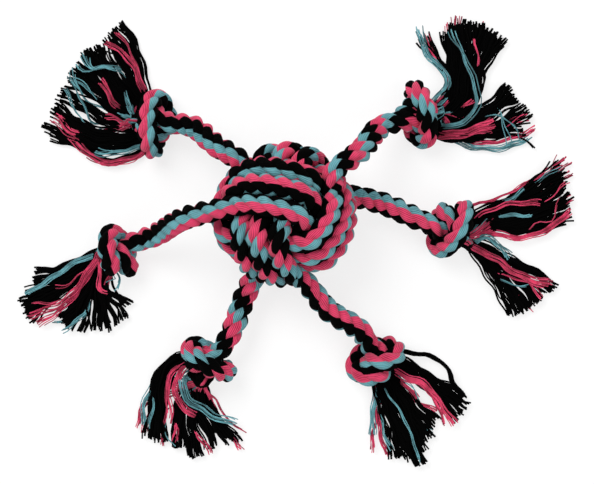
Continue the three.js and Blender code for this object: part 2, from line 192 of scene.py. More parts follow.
def cotton(name, dye, laid, strength=1.0):
    material, tree, shader = new_material(f"{name}_cotton_{dye}")
    place = add_node(tree, "ShaderNodeTexCoord").outputs["UV" if laid else "Object"]
    inputs = {"Vector": place, "Scale": 1 / MOTTLE_SIZE, "Detail": MOTTLE_DETAIL}
    shade = add_node(tree, "ShaderNodeTexNoise", inputs=inputs).outputs["Fac"]
    inputs = {"Vector": place, "Scale": 1 / FIBRE_SIZE, "Detail": FIBRE_DETAIL}
    height = add_node(tree, "ShaderNodeTexNoise", inputs=inputs).outputs["Fac"]
    if laid:
        # The yarn lines darken the colour as painted shade in the grooves between yarns, and raise the
        # relief.
        lines = yarn_lines(tree, place)
        added = {"operation": "MULTIPLY_ADD"}
        shaded = add_node(tree, "ShaderNodeMath", added, {0: lines, 1: YARN_SHADE, 2: shade})
        raised = add_node(tree, "ShaderNodeMath", added, {0: lines, 1: YARN_RELIEF, 2: height})
        shade = shaded.outputs["Value"]
        height = raised.outputs["Value"]
    ramp = add_node(tree, "ShaderNodeValToRGB", inputs={"Fac": shade})
    positions = LAID_SHADES if laid else LOOSE_SHADES
    for element, tone, position in zip(ramp.color_ramp.elements, DYE_AND_SHADE_TONES[dye], positions):
        element.position = position
        element.color = [strength * c for c in linear(tone)[:3]] + [1.0]
    inputs = {"Height": height, "Strength": RELIEF_STRENGTH, "Distance": RELIEF_DEPTH}
    relief = add_node(tree, "ShaderNodeBump", inputs=inputs)
    inputs = {
        "Base Color": ramp.outputs["Color"],
        "Normal": relief.outputs["Normal"],
        "Roughness": COTTON_ROUGHNESS,
        "Specular IOR Level": SPECULAR[dye],
        "Sheen Weight": SHEEN[dye],
        "Sheen Roughness": SHEEN_ROUGHNESS,
    }
    set_inputs(tree, shader, inputs)
    return material


laid_cotton = [cotton("laid", dye, True) for dye in DYE_AND_SHADE_TONES]
loose_cotton = [cotton("loose", dye, False) for dye in DYE_AND_SHADE_TONES]
# Darker copies of the loose cotton: painted shade, for yarns that lie deeper in a lock.
shaded_cotton = [cotton("shaded_loose", dye, False, SHADED) for dye in DYE_AND_SHADE_TONES]
print("materials:", [m.name for m in laid_cotton + loose_cotton + shaded_cotton])

# %% [markdown]
# The route of a rope
#
# A monkey's fist is three windings at right angles. Each one crosses over one neighbour and under
# the other, so its distance from the middle rises and falls twice in a turn. The same sizes shaped
# the solids, and they are repeated here in metres. Drawing the rope by eye would be quicker, but the
# crossings would cut through each other.

# %% Sizes of the ball
FIST_PITCH = 14.35 * MM  # between passes of one winding, and between crossing windings
FIST_TURNS = 3  # passes in each winding
SEAT_RATIO = 0.67  # inner winding radius for each pass, in pitches
UNDER_RADIUS = SEAT_RATIO * FIST_TURNS * FIST_PITCH
OVER_RADIUS = UNDER_RADIUS + FIST_PITCH
FIST_LEAN = 20  # degrees that the ball's three-fold axis leans from upright
FIST_LEAN_TOWARDS = 301  # azimuth of that lean
FIST_AZIMUTH = 244  # azimuth of the first winding's axis
CLIMB_MIDDLE = -0.235  # cosine of twice the turn where a pass is halfway up to its crossing
CLIMB_WIDTH = 0.555  # of that cosine, to each side
STEP_ACROSS = (0.8, 0.97)  # part of a turn in which the rope moves over to its next pass
TURN_SAMPLES = 160
print("ball radius over the crossings:", round(OVER_RADIUS * 1000, 1), "mm to the rope's middle")

# %% Directions and turns
UP = np.array([0.0, 0.0, 1.0])


def at_azimuth(degrees):
    angle = math.radians(degrees)
    return np.array([math.cos(angle), math.sin(angle), 0.0])


def unit(vector):
    return vector / np.linalg.norm(vector)


def turned_about(vector, axis, degrees):
    angle = math.radians(degrees)
    axis = unit(axis)
    along = axis * np.dot(axis, vector)
    return along + (vector - along) * math.cos(angle) + np.cross(axis, vector) * math.sin(angle)


def winding_frame(index):
    # The ball's three axes, with the winding's own axis first.
    rise = math.asin(1 / math.sqrt(3))
    hinge = np.cross(UP, at_azimuth(FIST_LEAN_TOWARDS))
    axes = []
    for i in range(3):
        axis = at_azimuth(FIST_AZIMUTH + 120 * i) * math.cos(rise) + UP * math.sin(rise)
        axes.append(turned_about(axis, hinge, FIST_LEAN))
    return np.array(axes[index:] + axes[:index])


print("axes of the windings:", winding_frame(0).round(3).tolist())


# %% The line of a winding
def smoothstep(values, start, end):
    share = np.clip((values - start) / (end - start), 0.0, 1.0)
    return share * share * (3 - 2 * share)


def lengths_along(points):
    return np.concatenate([[0], np.cumsum(np.linalg.norm(np.diff(points, axis=0), axis=1))])


def coil_line(index, first_turn, last_turn):
    turns = np.linspace(first_turn, last_turn, int(TURN_SAMPLES * (last_turn - first_turn)))
    whole = np.floor(turns)
    passes = np.minimum(whole + smoothstep(turns - whole, *STEP_ACROSS), FIST_TURNS - 1)
    offset = FIST_PITCH * ((FIST_TURNS - 1) / 2 - passes)
    angle = 2 * math.pi * turns
    climb = smoothstep(np.cos(2 * angle), CLIMB_MIDDLE - CLIMB_WIDTH, CLIMB_MIDDLE + CLIMB_WIDTH)
    height = UNDER_RADIUS + (OVER_RADIUS - UNDER_RADIUS) * climb
    ring = np.sqrt(height**2 - offset**2)
    local = np.stack([offset, ring * np.sin(angle), ring * np.cos(angle)], axis=1)
    return local @ winding_frame(index)


print("three passes of rope:", round(lengths_along(coil_line(0, 0, FIST_TURNS))[-1], 3), "m")

# %% [markdown]
# Legs and knots
#
# Each rope end bends out of the ball, runs to its knot in one easy curve, and goes through an
# overhand knot: once round itself and out through its own ring. A knot could be drawn point by point
# to its end, but it is alike on both sides. So its line is a handful of points on one half, and the
# other half is the same turned half round.

# %% Sizes of the legs and knots
LEG_ROPE = 16 * MM  # diameter of the free rope in the solids
KNOT_PITCH = 12 * MM  # between the turns of a knot
KNOT_ROPE = 10.8 * MM  # the solids' rope in a knot
FLAT_DEPTH = 1.3 * MM  # how far the rope is pressed flat where it lies on the floor
CLEARANCE = 0.4 * MM  # between the solids
KNOT_DISTANCE = 116 * MM  # from the ball's axis to the middle of a knot
LEAD_AIM = 0.75  # how far a rope end turns from its corner towards its own knot
LEAD_STRAIGHT = 6.6 * MM  # straight part of a rope end
LEG_PULL = 0.4  # how far a leg runs on from each of its ends, as a share of its length
# The two ends of a winding: the turn where each one leaves the coil, the corner that it leaves by in
# the winding's axes, where it starts to run straight, in pitches from the middle, and how strongly
# its bend is pulled.
LEADS = {
    "first": {"turn": -0.04, "corner": (0.39, -0.575, 0.755), "radius": 3.65, "pull": 0.4},
    "last": {"turn": FIST_TURNS - 0.161, "corner": (-0.485, -0.635, 0.65), "radius": 3.54, "pull": 0.26},
}
# Clockwise from the upper left: the rope end that a leg is, the azimuth of its knot from the ball and
# its share of KNOT_DISTANCE, the azimuth and downward pitch of the rope through the knot, how far the
# knot is rolled about the rope, and how large it is drawn up, as a share of the usual size.
LEG_FACTS = ("name", "rope", "end", "azimuth", "share", "heading", "pitch", "roll", "drawn_up")
LEG_ROWS = [
    ("leg_1", 0, "last", 144.9, 0.971, 176, 18, 8, 1),
    ("leg_2", 2, "first", 35.8, 1.017, 14, 18, 25, 1),
    ("leg_3", 2, "last", -6.3, 1, -23, 22, 60, 1),
    ("leg_4", 1, "first", -57.6, 1.016, -64, 38, 180, 0.86),
    ("leg_5", 1, "last", 244.1, 1, 238, 4, -60, 0.95),
    ("leg_6", 0, "first", 190.8, 1.032, 196, 18, 110, 0.86),
]
LEGS = [dict(zip(LEG_FACTS, row)) for row in LEG_ROWS]
print("legs:", [leg["name"] for leg in LEGS])

# %% Curves through points
CURVE_SAMPLES = 80
SPAN_SAMPLES = 24  # between two points of a knot or a lock


def pulled_bend(points):
    # From the first point to the last, pulled towards the two between them.
    t = np.linspace(0, 1, CURVE_SAMPLES)[:, None]
    a, b, c, d = points
    return (1 - t) ** 3 * a + 3 * (1 - t) ** 2 * t * b + 3 * (1 - t) * t**2 * c + t**3 * d


def between(t, start, end, first, last):
    return ((end - t) * first + (t - start) * last) / (end - start)


def smooth_line(places):
    # A curve through every place, without loops. Each span is worked out from the four places round
    # it, with the square root of each distance as its share of the way.
    places = np.array(places, dtype=float)
    padded = np.vstack([2 * places[0] - places[1], places, 2 * places[-1] - places[-2]])
    pieces = []
    for i in range(len(places) - 1):
        p = padded[i:i + 4]
        knots = np.concatenate([[0], np.cumsum(np.linalg.norm(np.diff(p, axis=0), axis=1) ** 0.5)])
        t = np.linspace(knots[1], knots[2], SPAN_SAMPLES, endpoint=False)[:, None]
        level = [between(t, knots[k], knots[k + 1], p[k], p[k + 1]) for k in range(3)]
        level = [between(t, knots[k], knots[k + 2], level[k], level[k + 1]) for k in range(2)]
        pieces.append(between(t, knots[1], knots[2], *level))
    return np.vstack(pieces + [places[-1:]])


print("points of a bend:", CURVE_SAMPLES, "and of each span of a knot:", SPAN_SAMPLES)

# %% The line of a knot
# From the crown of a knot's ring to the rope that leaves it, in knot pitches along the rope, across
# it and up.
HALF_KNOT = [
    (0, 0, 0.85),
    (0.05, -0.95, 0.65),
    (0, -1.5, -0.2),
    (-0.1, -1.25, -1.1),
    (-0.4, -0.4, -1.4),
    (-0.5, 0.2, -0.95),
    (0, 0.55, -0.4),
    (0.7, 0.2, 0),
    (1.2, 0, 0),
]
KNOT_ENTRY = 1.8  # how far before the knot's middle its rope begins
KNOT_EXIT = 1.35  # and how far behind it the rope opens


def knot_plan(leg):
    return ball_centre * (1, 1, 0) + at_azimuth(leg["azimuth"]) * leg["share"] * KNOT_DISTANCE


def knot_heading(leg):
    pitch = math.radians(leg["pitch"])
    return at_azimuth(leg["heading"]) * math.cos(pitch) - UP * math.sin(pitch)


def knot_line(leg):
    heading = knot_heading(leg)
    level = unit(np.cross(UP, heading))
    upright = np.cross(heading, level)
    axes = np.array([heading] + [turned_about(v, heading, leg["roll"]) for v in (level, upright)])
    other_half = [(-a, -b, c) for a, b, c in reversed(HALF_KNOT[1:])]
    places = [(-KNOT_ENTRY, 0, 0)] + other_half + HALF_KNOT + [(KNOT_EXIT, 0, 0)]
    size = leg["drawn_up"]
    line = smooth_line(np.array(places) * size * KNOT_PITCH) @ axes
    centre = knot_plan(leg) + UP * (size * KNOT_ROPE / 2 - FLAT_DEPTH - line[:, 2].min())
    return line + centre


for leg in LEGS:
    print(leg["name"], "rope in its knot:", round(lengths_along(knot_line(leg))[-1] * 1000), "mm")


# %% From the ball to the end of a rope
def outward_route(leg, coil):
    # From the coil's end to the rope's end below the knot, in parts.
    lead = LEADS[leg["end"]]
    backwards = leg["end"] == "first"
    ends = coil[:2] if backwards else coil[:-3:-1]
    start = ends[0]
    ahead = unit(ends[0] - ends[1])
    outward = unit(np.array(lead["corner"]) @ winding_frame(leg["rope"]))
    bend = ball_centre + outward * lead["radius"] * FIST_PITCH
    knot = knot_line(leg)
    to_knot = unit(knot_plan(leg) + UP * KNOT_PITCH - bend)
    outward = unit(outward * (1 - LEAD_AIM) + to_knot * LEAD_AIM)
    reach = lead["pull"] * np.linalg.norm(start - bend)
    lead_line = pulled_bend([start, start + ahead * reach, bend - outward * reach, bend])
    tip = bend + outward * LEAD_STRAIGHT
    root = tip + outward * (CLEARANCE + LEG_ROPE / 2)
    heading = knot_heading(leg)
    face = knot[0] - heading * CLEARANCE
    pull = LEG_PULL * np.linalg.norm(face - root)
    leg_line = pulled_bend([root, root + outward * pull, face - heading * pull, face])
    return [lead_line[1:], tip[None], leg_line, knot]


print("rope ends:", {leg["name"]: f"{leg['end']} of rope {'abc'[leg['rope']]}" for leg in LEGS})

# %% [markdown]
# One whole rope
#
# The three pieces of a rope that move apart, a leg at each end and the winding between them, are cut
# from one line. That way the lay of the strands and their colours run on across the cuts and no
# joint shows. The line is walked in equal steps, and a pair of axes is carried along it without
# twist, so that the strands can be laid round it.

# %% Sizes along a rope
STATION = 1.25 * MM  # one step
LINE_EASING = 6  # times that the line is smoothed
BALL_ROPE_SEEN = 14.9 * MM  # how thick the rope looks in the ball
LEG_ROPE_SEEN = 16.3 * MM
KNOT_ROPE_SEEN = 14.4 * MM
CHANGE_LENGTH = 18 * MM  # over which the thickness changes
END_LENGTH = 12 * MM  # over which a rope thins to its cut end
END_SHARE = 0.6  # of the thickness, left there
# How each rope's plies lie. "shown" is the place round a strand, in degrees, that faces up in a leg
# and outward in the ball: at the first knot, at the end of that leg, at the winding's start and end,
# at the start of the last leg and at its knot. Then, for the first leg, the ball and the last leg:
# do neighbouring strands show the same dye (1) or take turns (0), and do the plies go round the
# other way (1)?
ROPE_PLIES = [
    {"shown": (-75, 45, 95, 95, 45, -75), "same": (1, 1, 1), "reversed": (0, 0, 1)},
    {"shown": (-75, 180, 45, 45, 45, 45), "same": (1, 0, 0), "reversed": (1, 0, 0)},
    {"shown": (45, 45, 60, 60, 100, 140), "same": (0, 1, 1), "reversed": (0, 0, 0)},
]
SHOWN_AT = [0, 1, 3, 4, 6, 7]  # of a rope's nine parts, the ones at whose ends "shown" is given
print("steps in a metre of rope:", round(1 / STATION))


# %% Walk along each rope
def points_at(stations, along, points):
    return np.stack([np.interp(stations, along, points[:, k]) for k in range(3)], axis=1)


def eased(values, passes):
    # Each pass takes every value halfway to the mean of its two neighbours.
    values = values.copy()
    for _ in range(passes):
        values[1:-1] = (values[:-2] + 2 * values[1:-1] + values[2:]) / 4
    return values


def carried_axes(line):
    # A pair of axes across the line, carried along it without twist.
    tangents = np.gradient(line, axis=0)
    tangents /= np.linalg.norm(tangents, axis=1)[:, None]
    across = np.zeros_like(line)
    across[0] = unit(np.cross(UP, tangents[0]))
    for i in range(1, len(line)):
        across[i] = unit(across[i - 1] - tangents[i] * np.dot(across[i - 1], tangents[i]))
    return across, np.cross(tangents, across)


def whole_rope(index):
    coil = coil_line(index, LEADS["first"]["turn"], LEADS["last"]["turn"]) + ball_centre
    legs = {leg["end"]: leg for leg in LEGS if leg["rope"] == index}
    routes = {end: outward_route(leg, coil) for end, leg in legs.items()}
    parts = [part[::-1] for part in reversed(routes["first"])] + [coil] + routes["last"]
    thick = [KNOT_ROPE_SEEN, LEG_ROPE_SEEN, LEG_ROPE_SEEN, BALL_ROPE_SEEN]
    thick = thick + [BALL_ROPE_SEEN] + thick[::-1]
    points = np.vstack(parts)
    along = lengths_along(points)
    part_ends = along[np.cumsum([len(part) for part in parts]) - 1]
    stations = np.linspace(0, along[-1], int(round(along[-1] / STATION)) + 1)
    line = eased(points_at(stations, along, points), LINE_EASING)
    part = np.searchsorted(part_ends[:-1], stations)
    change = int((CHANGE_LENGTH / STATION) ** 2 / 4)  # passes of easing that reach that far
    sizes = eased(np.array(thick)[part], change)
    from_end = np.minimum(stations, stations[-1] - stations)
    sizes = sizes * (END_SHARE + (1 - END_SHARE) * smoothstep(from_end, 0, END_LENGTH))
    plies = {}
    for key in ("same", "reversed"):
        first_leg, ball, last_leg = ROPE_PLIES[index][key]
        plies[key] = np.array([first_leg] * 4 + [ball] + [last_leg] * 4, dtype=float)[part]
    across, beside = carried_axes(line)
    # Turn the plies so that the place to be shown faces up, or outward in the ball.
    marks = part_ends[SHOWN_AT]
    spots = np.searchsorted(stations, marks)
    in_ball = line[spots[2:4]] - ball_centre
    seen_from = np.array([UP, UP, *in_ball, UP, UP])
    view = np.arctan2(*[(axis[spots] * seen_from).sum(axis=1) for axis in (beside, across)])
    shown = np.radians(ROPE_PLIES[index]["shown"])
    face = np.unwrap(2 * view - np.where(plies["reversed"][spots] > 0.5, -shown, shown))
    return {
        "line": line,
        "along": stations,
        "size": sizes,
        "same": eased(plies["same"], change),
        "face": np.interp(stations, marks, face),
        "reversed": plies["reversed"] > 0.5,
        "across": across,
        "beside": beside,
        # The stations where the straight ends of the winding stop and the legs begin.
        "cuts": [int(np.searchsorted(stations, part_ends[k])) for k in (1, len(parts) - 3)],
        "legs": legs,
    }


ropes = [whole_rope(i) for i in range(3)]
for rope in ropes:
    print("rope length:", round(rope["along"][-1], 3), "m, stations:", len(rope["line"]), rope["cuts"])

# %% [markdown]
# Three strands laid round the line
#
# Each rope is three strands laid right-handed, and every strand is four plies: one teal, one pink and
# two black. Each ply keeps facing the same way as its strand runs on. Where neighbouring strands also
# show the same dye, the colours lie along the rope in stripes that the lay cuts into lozenges, and
# elsewhere they take turns. A strand begins as a flat grid whose columns are the plies. Its vertices
# are then wrapped round the strand's own line, the seam is merged and the ends are filled. A curve
# with a bevel would make the tube too, but it gives no control of which way the colours face.

# %% Sizes of the strands
LAY_LENGTH = 33 * MM  # in which a strand goes once round the rope
STRAND_OFFSET = 0.45  # of the rope's radius
STRAND_RADIUS = 0.57  # of the rope's radius
PLY_GROOVE = 0.05  # of the strand's radius, below it between two plies
PLY_BULGE = 0.075  # of the strand's radius, from there to the crest of a ply
PLIES = [("teal", 9), ("pink", 12), ("black", 7), ("black", 8)]  # and their columns
COLUMNS = sum(width for _, width in PLIES)
SWAY_ANGLE = 0.06  # radians that the plies wander to and fro
SWAY_LENGTH = 83 * MM
SWAY_SHIFT = 2.1  # radians from one strand's wandering to the next one's
MAP_SHIFT = 0.37  # metres from one strand's map to the next one's, so that no two look alike
FLOOR_GAP = 0.25 * MM
FLOOR_GIVE = 0.04  # of the depth that rope would sink in, that is left
SEAM = 1e-7  # metres between vertices that are one
ROPE_OPENS = 7 * MM  # before the end of its line, where the strands come apart into yarn
DYE_ORDER = list(DYE_AND_SHADE_TONES)

ply_bulge = [np.sin(np.pi * np.arange(width) / width) for _, width in PLIES]
ply_bulge = np.concatenate(ply_bulge + [[0.0]])
ply_dye = np.concatenate([np.full(width, DYE_ORDER.index(dye)) for dye, width in PLIES])
print("columns of each strand:", COLUMNS, "lay:", round(LAY_LENGTH / MM), "mm")


# %% The surface of a strand
def pressed(points):
    # What would sink into the floor is pressed flat on it.
    height = points[..., 2]
    flat = FLOOR_GAP + FLOOR_GIVE * (height - FLOOR_GAP)
    points[..., 2] = np.where(height < FLOOR_GAP, flat, height)
    return points


def strand_surface(rope, first, last, number):
    span = slice(first, last + 1)
    radius = rope["size"][span, None] / 2
    along = rope["along"][span, None]
    lay = 2 * np.pi * (along / LAY_LENGTH + number / 3)
    across = rope["across"][span, None, :]
    beside = rope["beside"][span, None, :]
    sway = SWAY_ANGLE * np.sin(2 * np.pi * along / SWAY_LENGTH + SWAY_SHIFT * number)
    column = np.arange(COLUMNS + 1)[None, :] / COLUMNS
    # The plies turn back as fast as the lay turns, so that each one keeps facing the same way.
    facing = rope["face"][span, None] - 2 * np.pi * along / LAY_LENGTH
    facing = facing - 2 * np.pi / 3 * number * rope["same"][span, None] + sway + 2 * np.pi * column
    bulge = np.where(rope["reversed"][span, None], ply_bulge[None, ::-1], ply_bulge[None, :])
    skin = radius * STRAND_RADIUS * (1 - PLY_GROOVE + PLY_BULGE * bulge)
    offset = radius * STRAND_OFFSET
    x = offset * np.cos(lay) + skin * np.cos(facing)
    y = offset * np.sin(lay) + skin * np.sin(facing)
    points = rope["line"][span, None, :] + across * x[..., None] + beside * y[..., None]
    girth = 2 * np.pi * STRAND_RADIUS * LEG_ROPE_SEEN / 2
    chart = np.stack(np.broadcast_arrays(column * girth, along + MAP_SHIFT * number), axis=-1)
    return pressed(points), chart


print("one strand in the ball:", strand_surface(ropes[0], *ropes[0]["cuts"], 0)[0].shape[:2], "points")


# %% A piece of laid rope
def rope_piece(name, rope, first, last):
    rows = last - first
    bm = bmesh.new()
    for _ in range(3):
        bmesh.ops.create_grid(bm, x_segments=COLUMNS, y_segments=rows, size=1.0)
    mesh = bpy.data.meshes.new(name)
    bm.to_mesh(mesh)
    bm.free()
    # Read each vertex's row and column back from the flat grid.
    flat = np.empty(len(mesh.vertices) * 3)
    mesh.vertices.foreach_get("co", flat)
    flat = flat.reshape(-1, 3)
    column = np.rint((flat[:, 0] + 1) / 2 * COLUMNS).astype(int)
    row = np.rint((flat[:, 1] + 1) / 2 * rows).astype(int)
    each = len(flat) // 3
    strand = np.arange(len(flat)) // each
    surfaces = [strand_surface(rope, first, last, k) for k in range(3)]
    points = np.stack([surface for surface, _ in surfaces])[strand, row, column]
    charts = np.stack([chart for _, chart in surfaces])[strand, row, column]
    middles = np.empty(len(mesh.polygons) * 3)
    mesh.polygons.foreach_get("center", middles)
    face_column = ((middles[0::3] + 1) / 2 * COLUMNS).astype(int)
    face_row = first + ((middles[1::3] + 1) / 2 * rows).astype(int)
    face_column = np.where(rope["reversed"][face_row], COLUMNS - 1 - face_column, face_column)
    corners = np.empty(len(mesh.loops), dtype=int)
    mesh.loops.foreach_get("vertex_index", corners)
    mesh.uv_layers.new(name="strand_map").uv.foreach_set("vector", charts[corners].ravel())
    for material in laid_cotton:
        mesh.materials.append(material)
    mesh.polygons.foreach_set("material_index", ply_dye[face_column].astype(np.int32))
    mesh.vertices.foreach_set("co", points.ravel())
    # Close each strand: merge the seam, then fill both ends.
    bm = bmesh.new()
    bm.from_mesh(mesh)
    bmesh.ops.remove_doubles(bm, verts=bm.verts, dist=SEAM)
    bmesh.ops.holes_fill(bm, edges=[e for e in bm.edges if e.is_boundary], sides=0)
    bmesh.ops.recalc_face_normals(bm, faces=bm.faces)
    bm.to_mesh(mesh)
    bm.free()
    mesh.polygons.foreach_set("use_smooth", np.ones(len(mesh.polygons), dtype=bool))
    return link(bpy.data.objects.new(name, mesh))


print("materials of a piece:", [material.name for material in laid_cotton])

# %% Cut the ropes into windings and legs
open_from = int(ROPE_OPENS / STATION)
winding_pieces = []
leg_pieces = {}
leg_spans = {}
for index, rope in enumerate(ropes):
    cut_first, cut_last = rope["cuts"]
    name = f"rope_{'abc'[index]}_in_ball"
    winding_pieces.append(rope_piece(name, rope, cut_first, cut_last))
    open_to = len(rope["line"]) - 1 - open_from
    spans = {"first": (open_from, cut_first), "last": (cut_last, open_to)}
    for end, leg in rope["legs"].items():
        name = leg["name"]
        leg_spans[name] = spans[end]
        leg_pieces[name] = rope_piece(f"{name}_laid_rope", rope, *spans[end])
for piece in [*winding_pieces, *leg_pieces.values()]:
    print(piece.name, len(piece.data.polygons), "faces")

# %% [markdown]
# Tassels
#
# Below each knot the rope is unlaid, and its plies fall open into locks of loose yarn. Each lock is
# drawn as the line that it follows in the picture, and filled with yarns that run beside that line.
# Hair particles would fill a tassel faster, but the locks here cross, curl and keep their own dye, so
# each yarn is a thin curve of its own. One curve object holds a tassel and is made a mesh at the end.

# %% Locks of the upper left tassel
# A lock is its dye, its half width, the height that it lies at, and the places it passes, all in
# millimetres. The places are a plan from the middle of the knot, to the right and up in the picture.
LOCKS = {}
LOCKS["leg_1"] = [
    ("black", 5, 4, (-10, 14), (-14, 40), (-21, 58), (-31, 70)),
    ("black", 5, 4, (-11, 13), (-21, 38), (-30, 54), (-37, 63)),
    ("black", 5, 4, (-11, 10), (-26, 28), (-38, 44), (-44, 57)),
    ("black", 5, 4, (-11, 8), (-29, 24), (-44, 40), (-53, 54)),
    ("black", 5, 4, (-12, 6), (-30, 18), (-48, 32), (-61, 42)),
    ("black", 5, 4, (-12, 4), (-30, 12), (-50, 26), (-66, 31)),
    ("black", 4, 4, (-12, 0), (-34, 2), (-55, 14), (-72, 22)),
    ("black", 5, 4, (-12, -6), (-32, -8), (-56, -1), (-75, 14)),
    ("black", 5, 5, (-12, -8), (-34, -13), (-54, -10), (-70, 3)),
    ("black", 3, 3, (-14, -12), (-48, -18), (-67, -9), (-83, 0)),
    ("black", 2, 3, (-14, -12), (-50, -17), (-64, -12), (-79, -8)),
    ("pink", 2.6, 9, (-11, 20), (-14, 32), (-22, 47), (-38, 58)),
    ("pink", 0.9, 10, (-13, 28), (-17, 44), (-25, 60), (-31, 67)),
    ("teal", 1.5, 9, (-24, 36), (-38, 41), (-46, 38), (-55, 50)),
    ("teal", 0.9, 9, (-36, 40), (-47, 37), (-54, 38), (-59, 44)),
    ("pink", 2.2, 11, (-27, 9), (-34, 18), (-42, 31)),
    ("pink", 1.8, 11, (-25, 2), (-30, 4), (-38, 6)),
    ("teal", 1.2, 11, (-10, 1), (-18, 7), (-25, 24)),
    ("teal", 1.4, 10, (-12, -1), (-20, 3), (-29, 8)),
    ("teal", 0.9, 8, (-48, -4), (-58, 8), (-67, 26)),
    ("teal", 1.0, 8, (-46, 0), (-54, 14), (-64, 35)),
    ("teal", 0.9, 9, (-49, 16), (-57, 27), (-61, 40)),
    ("teal", 0.9, 8, (-40, 14), (-50, 26), (-62, 33)),
    ("black", 2, 4, (-10, -15), (-24, -24), (-42, -24), (-56, -14), (-72, -3)),
    ("pink", 2.8, 6, (-48, -8), (-60, -7), (-75, 6)),
    ("pink", 1.9, 6, (-9, -16), (-24, -25), (-42, -25), (-54, -16), (-64, -8)),
    ("pink", 1.0, 5, (-9, -17), (-22, -26), (-40, -27), (-50, -21)),
    ("teal", 2.2, 8, (-9, -13), (-20, -18), (-38, -21), (-46, -19)),
]
print("locks of the upper left tassel:", len(LOCKS["leg_1"]))

# %% Locks of the upper right tassel
LOCKS["leg_2"] = [
    ("black", 2.8, 6, (13, 4), (24, 18), (23, 30), (14, 41), (5, 57)),
    ("black", 5, 5, (12, -2), (21, 8), (27, 32), (24, 62)),
    ("black", 5, 6, (12, -3), (26, 9), (30, 36), (27, 66)),
    ("black", 5, 7, (12, -4), (30, 8), (35, 36), (36, 68)),
    ("black", 5, 6, (12, -4), (34, 8), (39, 35), (46, 66)),
    ("black", 5, 5, (12, -5), (37, 8), (43, 33), (54, 62)),
    ("black", 4, 4, (12, -5), (40, 9), (46, 32), (61, 57)),
    ("black", 0.8, 4, (44, 11), (49, 24), (47, 36)),
    ("black", 5, 5, (12, -10), (30, -8), (47, 2), (58, 10), (67, 21)),
    ("black", 4, 4, (12, -10), (32, -10), (50, -2), (62, 8), (72, 13)),
    ("black", 4.5, 5, (12, -11), (32, -14), (55, -9), (68, -2), (79, 6)),
    ("black", 4, 4, (12, -11), (34, -16), (58, -14), (78, -12)),
    ("black", 0.7, 4, (70, -14), (77, -17), (86, -23)),
    ("teal", 2.6, 8, (11, 6), (21, 18), (23, 27), (15, 36), (7, 46), (3, 64)),
    ("pink", 1.6, 7, (12, 4), (23, 20), (20, 33), (14, 40), (6, 58)),
    ("pink", 2.2, 3, (14, -3), (27, 9), (29, 40), (30, 71)),
    ("pink", 1.2, 3, (13, -2), (24, 12), (25, 40), (22, 66)),
    ("pink", 1.0, 3, (14, -4), (36, 9), (42, 40), (48, 67)),
    ("teal", 2.4, 12, (11, 1), (15, 7), (19, 14)),
    ("pink", 0.9, 11, (44, 30), (44, 40), (42, 54)),
    ("pink", 1.4, 9, (28, 2), (35, 8), (41, 11)),
    ("teal", 1.8, 12, (17, -7), (31, -6), (41, 2), (43, 13), (38, 30), (31, 48), (25, 61)),
    ("pink", 3.4, 8, (13, -12), (26, -14), (42, -11), (56, -6)),
    ("pink", 1.5, 5, (55, -6), (68, -4), (80, 1)),
    ("pink", 1.6, 5, (36, -18), (62, -18), (85, -8)),
    ("teal", 2.6, 4, (28, -17), (54, -23), (72, -19), (82, -14)),
    ("teal", 0.5, 10, (42, -1), (59, -1), (69, -8), (72, -18)),
    ("teal", 0.5, 10, (56, 8), (61, -4), (66, -23)),
]
print("locks of the upper right tassel:", len(LOCKS["leg_2"]))

# %% Locks of the right tassel
LOCKS["leg_3"] = [
    ("black", 4.5, 5, (18, 9), (42, 19), (63, 34), (80, 46)),
    ("black", 4.5, 5, (18, 8), (45, 16), (67, 28), (82, 38)),
    ("black", 4.5, 6, (18, 6), (48, 12), (72, 22), (84, 30)),
    ("black", 4.5, 6, (18, 5), (48, 8), (72, 15), (85, 22)),
    ("black", 4.5, 5, (18, 4), (46, 3), (69, 8), (85, 15)),
    ("black", 4, 4, (18, 3), (44, 0), (66, 1), (82, 9)),
    ("pink", 1.6, 6, (15, 15), (37, 23), (57, 34), (83, 51)),
    ("pink", 1.8, 4, (60, 30), (74, 40), (86, 49)),
    ("pink", 1.8, 4, (62, 26), (76, 34), (87, 42)),
    ("pink", 1.5, 9, (18, 7), (28, 13), (44, 18), (65, 16)),
    ("pink", 0.6, 10, (60, 16), (70, 21), (79, 32), (86, 36)),
    ("teal", 1.3, 9, (30, 9), (40, 10), (50, 10), (60, 11)),
    ("teal", 1.3, 8, (34, 17), (43, 21), (54, 29)),
    ("teal", 0.9, 7, (56, 30), (66, 36), (80, 43)),
    ("pink", 2.6, 7, (22, 0), (48, -6), (69, 0), (87, 15)),
    ("pink", 0.6, 9, (52, -4), (60, 4), (72, 6), (78, 22)),
    ("pink", 1.4, 6, (66, 10), (78, 18), (88, 22)),
    ("black", 4.5, 5, (18, -14), (36, -38), (48, -61)),
    ("black", 4.5, 5, (18, -14), (38, -36), (54, -59)),
    ("black", 4.5, 5, (20, -14), (43, -34), (61, -54)),
    ("black", 4.5, 5, (22, -13), (46, -30), (67, -49)),
    ("black", 3.5, 5, (24, -11), (45, -23), (61, -31), (75, -43)),
    ("teal", 3.2, 8, (14, -10), (25, -6), (34, -11), (43, -22)),
    ("pink", 2.6, 9, (15, -12), (33, -21), (49, -32), (73, -39)),
    ("pink", 0.8, 9, (28, -27), (45, -34), (57, -38), (66, -50)),
    ("teal", 0.6, 10, (32, -30), (41, -38), (56, -38)),
    ("pink", 1.2, 4, (34, -34), (46, -44), (60, -59)),
]
print("locks of the right tassel:", len(LOCKS["leg_3"]))

